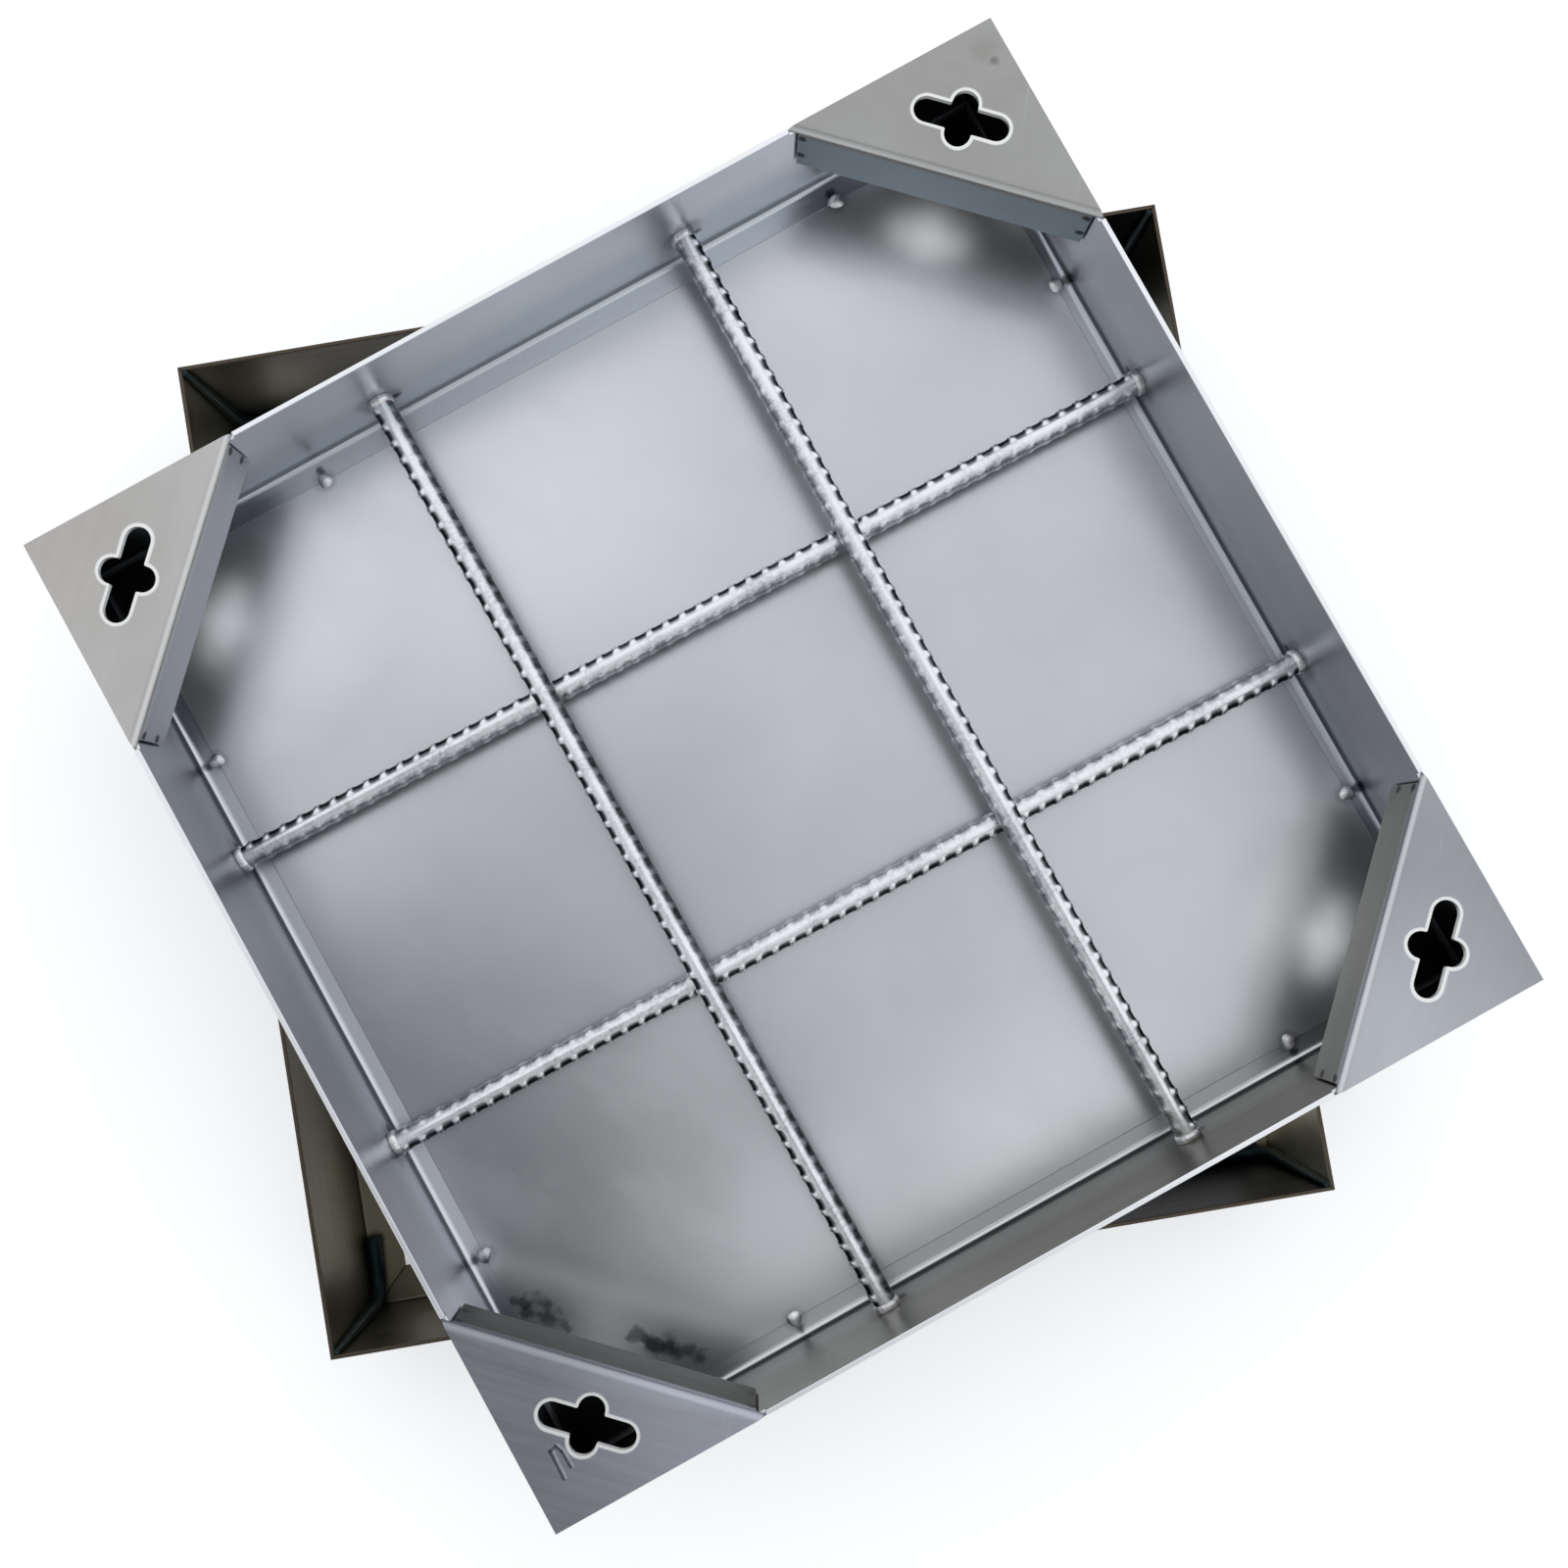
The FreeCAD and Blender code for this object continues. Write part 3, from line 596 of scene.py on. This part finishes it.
# the floor: broad patches of painted light and shade, painted light before the corner plates, below two of their
# key holes and on a dim place, and painted shadow streaks by the near plate's fold ends
floorPatches = ((-50, 235, 30, 230, 0.45, "#eceef1"), (-262, -70, 30, 160, 0.6, "#86868c"),
                (-90, 20, 20, 150, 0.3, "#a5a5aa"), (-130, -235, 10, 85, 0.6, "#eceef0"),
                (10, -290, 10, 150, 0.6, "#f0f1f3"), (-235, -165, 10, 90, 0.3, "#808086"),
                (190, 255, 10, 90, 0.4, "#ecedf0"))
floorStreaks = ((-284, -196, -268, -206), (-280, -205, -262, -222), (-232, -248, -214, -262),
                (-226, -256, -204, -276))
rubbedPlaces = [lineInTray(x * 170, y * 325, x * 325, y * 170, floorHeight) for x, y in quarters.values()]
litPlaces = [inTray(238, 238, floorHeight), inTray(238, -238, floorHeight)]
dimPlaces = [inTray(-232, 232, floorHeight)]
streakPlaces = [lineInTray(*ends, floorHeight) for ends in floorStreaks]
floorSteel = stainlessSheet("satinStainlessFloor", {
    "dark": "#c1c2c5", "light": "#c9cacd", "rubbed": "#d4d5d8", "roughness": 0.3, "rub": 0.1, "wave": 0.25,
    "grainTurn": 90, "grainHeight": 0.0005, "grainRough": 0.15, "scratch": 0.015,
    "patches": patchesFrom(floorPatches, floorHeight, 14, 60),
    "marks": marksAt(rubbedPlaces, 20, 46, 0.8, "#f4f5f7", 0, 6) + marksAt(litPlaces, 18, 62, 0.4, "#fafafa", 3, 30)
    + marksAt(dimPlaces, 40, 100, 0.5, "#e6e8ec", 5, 30) + beadMarks + sootyCorners
    + marksAt(streakPlaces, 0.5, 6, 0.6, "#222427", 4, 4)})
foldedSheet("floor_plate", floorSteel)

# the corners' tones and their folds' tones are painted light and shade on one sheet; bendHighlight is how strong
# the painted highlight along the bend is
plateLooks = {
    "top": {"dark": "#9d9d9a", "light": "#a9a9a7", "rubbed": "#b3b2ae", "fold": "#a3b1bb", "bendHighlight": 0.6,
            "patches": []},
    "left": {"dark": "#b4b2af", "light": "#c0bfbd", "rubbed": "#cbcac6", "fold": "#a3a6ae", "bendHighlight": 0.6,
             "patches": [(-300, 300, 5, 90, 0.4, "#bcb4ae")]},
    "bottom": {"dark": "#878990", "light": "#979aa1", "rubbed": "#a4a7ae", "fold": "#494a46", "bendHighlight": 0.1,
               "patches": [(-190, -285, 10, 110, 0.85, "#bcbfcb")]},
    "right": {"dark": "#989a9e", "light": "#a5a7ab", "rubbed": "#b4b6b9", "fold": "#84847f", "bendHighlight": 0.6,
              "patches": [(200, -285, 5, 120, 0.8, "#c2c5cb")]},
}
# the key holes' middle in from the tray's, how far their two slots' ends lie from it, and the bright ring's border
keyPlace = {"inset": 258.5, "longReach": 19.7, "shortReach": 8.7, "ring": 9.1}
foldEnds = {"places": ((178.8, 293.7), (293.7, 178.8)), "heights": (199, 181)}
for corner in cornerNames:
    x, y = quarters[corner]
    look = dict(plateLooks[corner], roughness=0.36, grainTurn=-45 * x * y)
    middle = Vector((x * keyPlace["inset"], y * keyPlace["inset"]))
    lines = []
    for direction, reach in ((Vector((x, -y)), keyPlace["longReach"]), (Vector((x, y)), keyPlace["shortReach"])):
        step = direction.normalized() * reach
        lines.append((inTray(*(middle - step), rimHeight), inTray(*(middle + step), rimHeight)))
    look["keyHole"] = {"lines": lines, "reach": keyPlace["ring"]}
    # a painted highlight along the bend
    look["bands"] = [(203.6, 205.6, 0.3, look["bendHighlight"], "#e8e9e9")]
    look["patches"] = patchesFrom(look["patches"], rimHeight, 6, 30)
    # painted shadow dots where the fold's ends meet the walls
    ends = [inTray(x * a, y * b, z) for a, b in foldEnds["places"] for z in foldEnds["heights"]]
    look["marks"] = marksAt(ends, 1.4, 3.4, 0.9, "#17181b", 0.4, 2)
    if corner == "top":
        # a dent with a faint stain round it
        look["marks"] += marksAt([inTray(290, 277.8, rimHeight)], 0.5, 4, 0.6, "#5a5a57", 1, 3)
        look["marks"] += marksAt([inTray(289, 286, rimHeight)], 2, 13, 0.3, "#84837b", 2, 6)
    if corner == "bottom":
        # a bent scratch with a pale burr beside it
        hook = ((-282.6, -276.6), (-282.1, -260.7), (-278.2, -259.9), (-276.7, -263.7), (-276.5, -273.0))
        for shift, reach, colour in ((1.5, 1.1, "#c9ccd2"), (0, 1.3, "#3d3f48")):
            strokes = [lineInTray(first[0] + shift, first[1], last[0] + shift, last[1], rimHeight)
                       for first, last in zip(hook, hook[1:])]
            look["marks"] += marksAt(strokes, 0.3, reach, 0.75, colour, 0.3, 2)
    foldedSheet("corner_plate_" + corner, stainlessSheet("satinStainlessPlateLitShaded_" + corner, look))
print("tray sheets done")

# the frame's sides are one sheet; their tones are painted light and shade, darkest at the front, palest at the right
frameLooks = {
    "back": {"dark": "#4b4940", "light": "#57544b", "rubbed": "#67645c"},
    "left": {"dark": "#5f5c4e", "light": "#6d6a5b", "rubbed": "#7c796b"},
    "front": {"dark": "#1d1f24", "light": "#282a2e", "rubbed": "#3e3f3b"},
    "right": {"dark": "#c6c1ac", "light": "#d2cdb8", "rubbed": "#dcd8c8"},
}
# the far corner is dark, and the left and the near one are paler: inner and outer reach, strength and colour, about
# a place that far out along the frame's diagonal and that high
frameCorners = ((60, 190, 0.92, "#101013"), (20, 110, 0.8, "#9b9788"), (40, 170, 0.7, "#8b8672"))
cornerReach, cornerHeight = 430, 50
turned = Matrix.Rotation(math.radians(frameTurn), 3, "Z")
frameMarks = []
for quarter, tone in enumerate(frameCorners):
    angle = math.radians(frameTurn) + math.radians(45 + 90 * quarter)
    corner = Vector((math.cos(angle) * cornerReach, math.sin(angle) * cornerReach, cornerHeight)) * mm
    frameMarks += marksAt([corner], *tone, 8, 30)
for side in sideNames:
    look = dict(frameLooks[side], roughness=0.38, rim="#544d42", rimFrom=103, marks=frameMarks,
                outward=turned @ outwards[side], grainTurn=frameTurn + (0 if side in ("back", "front") else 90))
    foldedSheet("frame_side_" + side, stainlessSheet("stainlessFrameSheetLitShaded_" + side, look))
print("frame done")

barSteel = rolledBarSteel()
collarLook = {"dark": "#cccccd", "light": "#fafafb", "tinted": "#7b797a", "roughness": 0.36}
beadLook = {"dark": "#b8b8bb", "light": "#f6f6f8", "tinted": "#7b797a", "roughness": 0.4}
collarSteel = weldMetal("brushedWeldCollar", collarLook)
beadSteel = weldMetal("tackWeldBead", beadLook)
for index, name in enumerate(sorted(nodes)):
    if "_bar_" in name and "_weld_" in name:
        weldCollar(name, collarSteel, 1.7 * index)
    elif "_bar_" in name:
        ribbedBar(name, barSteel)
    elif name.startswith("floor_weld_"):
        tackBead(name, beadSteel, 2.1 * index)
print("bars and welds done")

rubber = cushionRubber()
for quarter, corner in enumerate(cornerNames):
    cornerCushion("corner_cushion_" + corner, quarter, rubber)
print("cushions done")

# the studio: a pale ground, a pale sky with some grey cloud, one broad soft lamp and the camera

studio = {"groundSize": 40.0, "groundDrop": 0.5, "ground": "#f4f4f4", "groundGlow": 0.3, "skyColour": "#fafcff",
          "skyLow": 0.8, "whiteFrom": 0.85, "skyNear": 0.45, "awayFromBank": (0.7, 0.7, 0.0),
          "bankAcross": (-0.6, -0.15), "nearBand": (0.35, 0.65), "shadePlace": (-0.24, -0.15, 0.96),
          "shadeReach": 0.36, "shadeLevel": 0.12, "lampPower": 6.0, "lampSize": 1.6, "lampPlace": (0.9, 1.0, 2.2)}


def paleGround():
    # a wide flat square just below the frame's foot; what the camera and the steel see of it glows a little, so that
    # it stays white
    mesh = bpy.data.meshes.new("paleGround")
    half = studio["groundSize"] / 2
    mesh.from_pydata([(-half, -half, 0), (half, -half, 0), (half, half, 0), (-half, half, 0)], [], [(0, 1, 2, 3)])
    ground = bpy.data.objects.new("paleGround", mesh)
    ground.location.z = -studio["groundDrop"] * mm
    bpy.context.scene.collection.objects.link(ground)
    material, tree = newMaterial("paleStudioGround")
    shader = addNode(tree, "ShaderNodeBsdfPrincipled", {"Base Color": hexColour(studio["ground"]), "Roughness": 0.9})
    glow = addNode(tree, "ShaderNodeEmission", {"Color": hexColour("#ffffff"), "Strength": studio["groundGlow"]})
    path = addNode(tree, "ShaderNodeLightPath").outputs
    seen = combined(tree, "MAXIMUM", combined(tree, "MAXIMUM", path["Is Camera Ray"], path["Is Glossy Ray"]),
                    path["Is Transmission Ray"])
    both = addNode(tree, "ShaderNodeAddShader", {0: shader.outputs["BSDF"], 1: glow.outputs["Emission"]})
    mixed = addNode(tree, "ShaderNodeMixShader", {0: seen, 1: shader.outputs["BSDF"], 2: both.outputs["Shader"]})
    addNode(tree, "ShaderNodeOutputMaterial", {"Surface": mixed.outputs["Shader"]})
    mesh.materials.append(material)


def studioSky():
    # a pale sky, the same for every ray: nearly white at the horizon, white higher up, with a grey bank of cloud
    # high up towards the near left, and one soft grey cloud by the zenith
    world = bpy.data.worlds.new("studioSky")
    bpy.context.scene.world = world
    world.use_nodes = True
    tree = world.node_tree
    tree.nodes.clear()
    direction = addNode(tree, "ShaderNodeTexCoord").outputs["Generated"]
    height = addNode(tree, "ShaderNodeSeparateXYZ", {"Vector": direction}).outputs["Z"]
    lean = addNode(tree, "ShaderNodeVectorMath", {0: direction, 1: studio["awayFromBank"]}, operation="DOT_PRODUCT")
    across = ramped(tree, lean.outputs["Value"], *studio["bankAcross"], 1 - studio["skyNear"], 0.0)
    bank = combined(tree, "MULTIPLY", across, ramped(tree, height, *studio["nearBand"]))
    shade = ramped(tree, distanceTo(tree, direction, studio["shadePlace"]), 0.0, studio["shadeReach"],
                   studio["shadeLevel"], 1.0)
    level = combined(tree, "MULTIPLY", ramped(tree, height, 0.0, studio["whiteFrom"], studio["skyLow"], 1.0), shade)
    level = combined(tree, "MULTIPLY", level, combined(tree, "SUBTRACT", 1.0, bank))
    sky = addNode(tree, "ShaderNodeBackground", {"Color": hexColour(studio["skyColour"]), "Strength": level})
    addNode(tree, "ShaderNodeOutputWorld", {"Surface": sky.outputs["Background"]})


def softLamp():
    # a square area lamp that faces the tray; it only models what is matt, as the steel mirrors the sky
    light = bpy.data.lights.new("softLamp", "AREA")
    light.shape = "SQUARE"
    light.size = studio["lampSize"]
    light.energy = studio["lampPower"]
    lamp = bpy.data.objects.new("softLamp", light)
    lamp.location = studio["lampPlace"]
    lamp.rotation_mode = "QUATERNION"
    lamp.rotation_quaternion = Vector(studio["lampPlace"]).to_track_quat("Z", "Y")
    lamp.visible_glossy = False
    bpy.context.scene.collection.objects.link(lamp)


# the lens, place and turn that the lines of the tray give in the photograph
cameraView = {"place": (-0.02965, -0.05191, 1.00346), "turn": (2.333, -0.407, -28.998), "lens": 34.19,
              "sensor": 36.0, "shift": (0.0263, 0.0178), "nearest": 0.01}


def overheadCamera():
    # the camera at its place, turned about the turn's axis by the turn's length in degrees
    data = bpy.data.cameras.new("overheadCamera")
    data.lens = cameraView["lens"]
    data.sensor_width = cameraView["sensor"]
    data.shift_x, data.shift_y = cameraView["shift"]
    data.clip_start = cameraView["nearest"]
    camera = bpy.data.objects.new("overheadCamera", data)
    turn = Vector(cameraView["turn"])
    camera.matrix_world = (Matrix.Translation(cameraView["place"])
                           @ Matrix.Rotation(math.radians(turn.length), 4, turn.normalized()))
    bpy.context.scene.collection.objects.link(camera)
    bpy.context.scene.camera = camera


paleGround()
studioSky()
softLamp()
overheadCamera()
bpy.context.scene.view_settings.view_transform = "Standard"
print("studio done")
